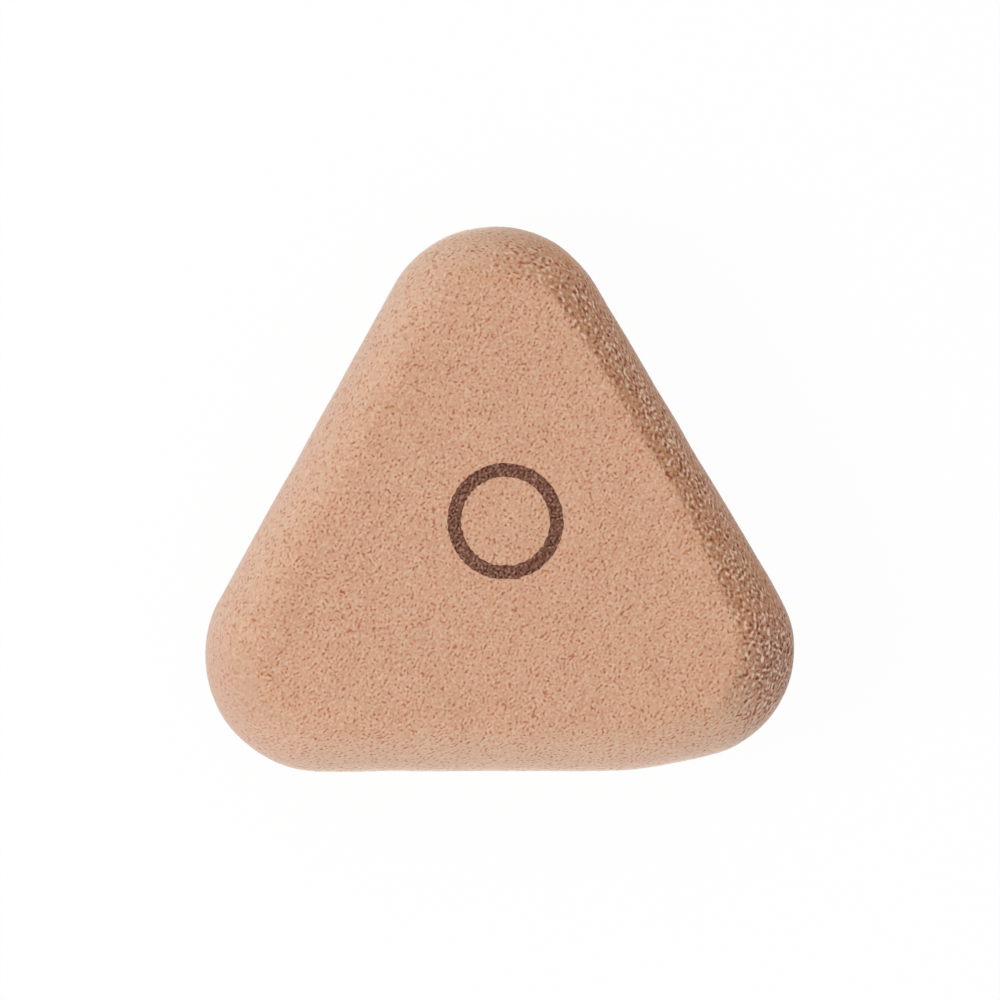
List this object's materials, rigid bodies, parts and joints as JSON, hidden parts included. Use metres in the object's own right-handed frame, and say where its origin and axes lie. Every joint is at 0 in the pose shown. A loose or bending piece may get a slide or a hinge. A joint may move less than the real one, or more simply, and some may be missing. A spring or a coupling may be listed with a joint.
{
  "type": "powder puff",
  "caption": "Rounded-triangle cosmetic puff of soft open-cell foam, with flat faces, ground bevels round the rim and a plain printed ring on the front.",
  "frame": {"origin": "on the flat back face, at the middle of the puff's length and width", "axes": "+Z out of the printed front face, through the thickness; +Y towards the apex corner; +X towards the right corner seen from the front"},
  "size_m": [0.06, 0.0556, 0.0202],
  "materials": {
    "foam": "matte",
    "print_ink": "matte"
  },
  "bodies": {
    "root": {"foam_body": "foam", "printed_ring": "print_ink"}
  },
  "joints": []
}
